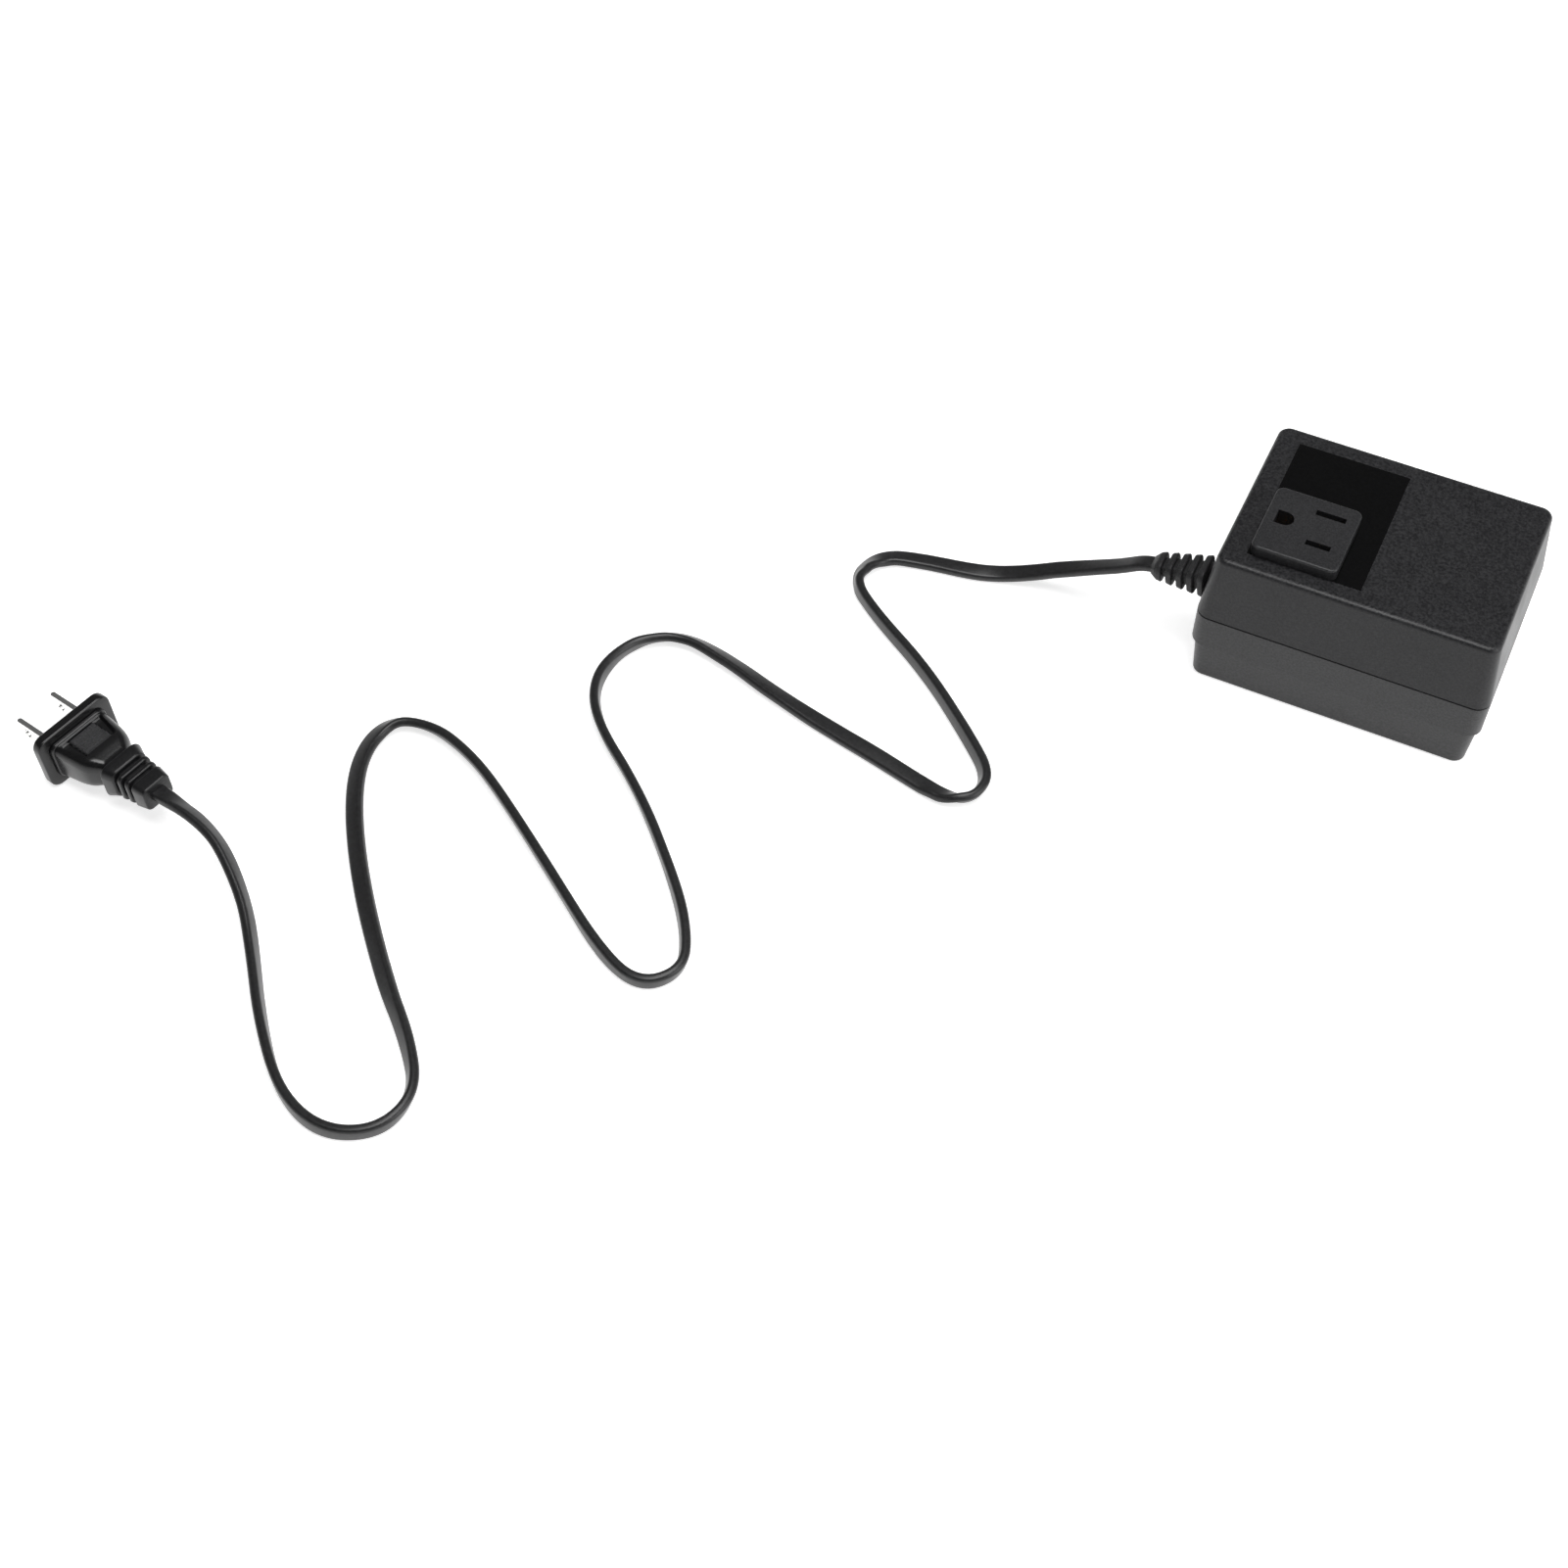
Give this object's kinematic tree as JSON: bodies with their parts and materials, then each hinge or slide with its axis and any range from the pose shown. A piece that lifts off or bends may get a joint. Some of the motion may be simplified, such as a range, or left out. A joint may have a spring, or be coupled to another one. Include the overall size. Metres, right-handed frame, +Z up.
{
  "type": "travel voltage converter",
  "caption": "Box-shaped travel voltage converter in two moulded shells, with a raised grounded outlet on top, a ribbed strain relief, and a flat cord ending in a two-blade plug.",
  "frame": {"origin": "middle of the case's underside, on the surface it stands on; the free cord and its plug are left out of that middle", "axes": "+X along the case's long side, away from the cord; +Y across it, towards the back; +Z up, out of the outlet's face"},
  "size_m": [0.3868, 0.3171, 0.0529],
  "materials": {
    "case_plastic": "black, fine sparkle texture on the top, smoother sides",
    "outlet_plastic": "black, smooth satin",
    "label_film": "bare black film, satin",
    "cord_jacket": "black flexible jacket, glossy",
    "plug_moulding": "black flexible moulding, semi-gloss",
    "plug_insert": "black hard plastic",
    "blade_nickel": "nickel plate, bright satin",
    "contact_brass": "bare brass strip",
    "screw_steel": "zinc plate",
    "core_steel": "varnished lamination edges",
    "strap_steel": "zinc-plated strip",
    "bobbin_nylon": "natural moulding",
    "winding_copper": "enamelled copper wire",
    "winding_tape": "yellow polyester tape",
    "carrier_plastic": "black hard plastic",
    "fuse_body": "drawn can",
    "lead_black": "black insulation",
    "lead_white": "white insulation",
    "lead_red": "red insulation"
  },
  "bodies": {
    "root": {"lower_shell": "case_plastic", "upper_cover": "case_plastic", "case_screws": "screw_steel", "outlet_block": "outlet_plastic", "contact_carrier": "carrier_plastic", "line_contact": "contact_brass", "neutral_contact": "contact_brass", "earth_contact": "contact_brass", "outlet_screws": "screw_steel", "rating_label": "label_film", "core_e_laminations": "core_steel", "core_i_laminations": "core_steel", "coil_bobbin": "bobbin_nylon", "primary_winding": "winding_copper", "winding_barrier_tape": "winding_tape", "secondary_winding": "winding_copper", "outer_winding_tape": "winding_tape", "bobbin_terminals": "blade_nickel", "core_strap": "strap_steel", "core_screws": "screw_steel", "thermal_fuse": "fuse_body", "strain_relief": "plug_moulding", "cord_tail": "cord_jacket", "lead_cord_to_fuse": "lead_black", "lead_cord_to_coil": "lead_white", "lead_fuse_to_coil": "lead_black", "lead_line_outlet": "lead_red", "lead_neutral_outlet": "lead_white", "power_cord": "cord_jacket", "plug_body": "plug_moulding", "plug_bridge": "plug_insert", "plug_blades": "blade_nickel"}
  },
  "joints": []
}
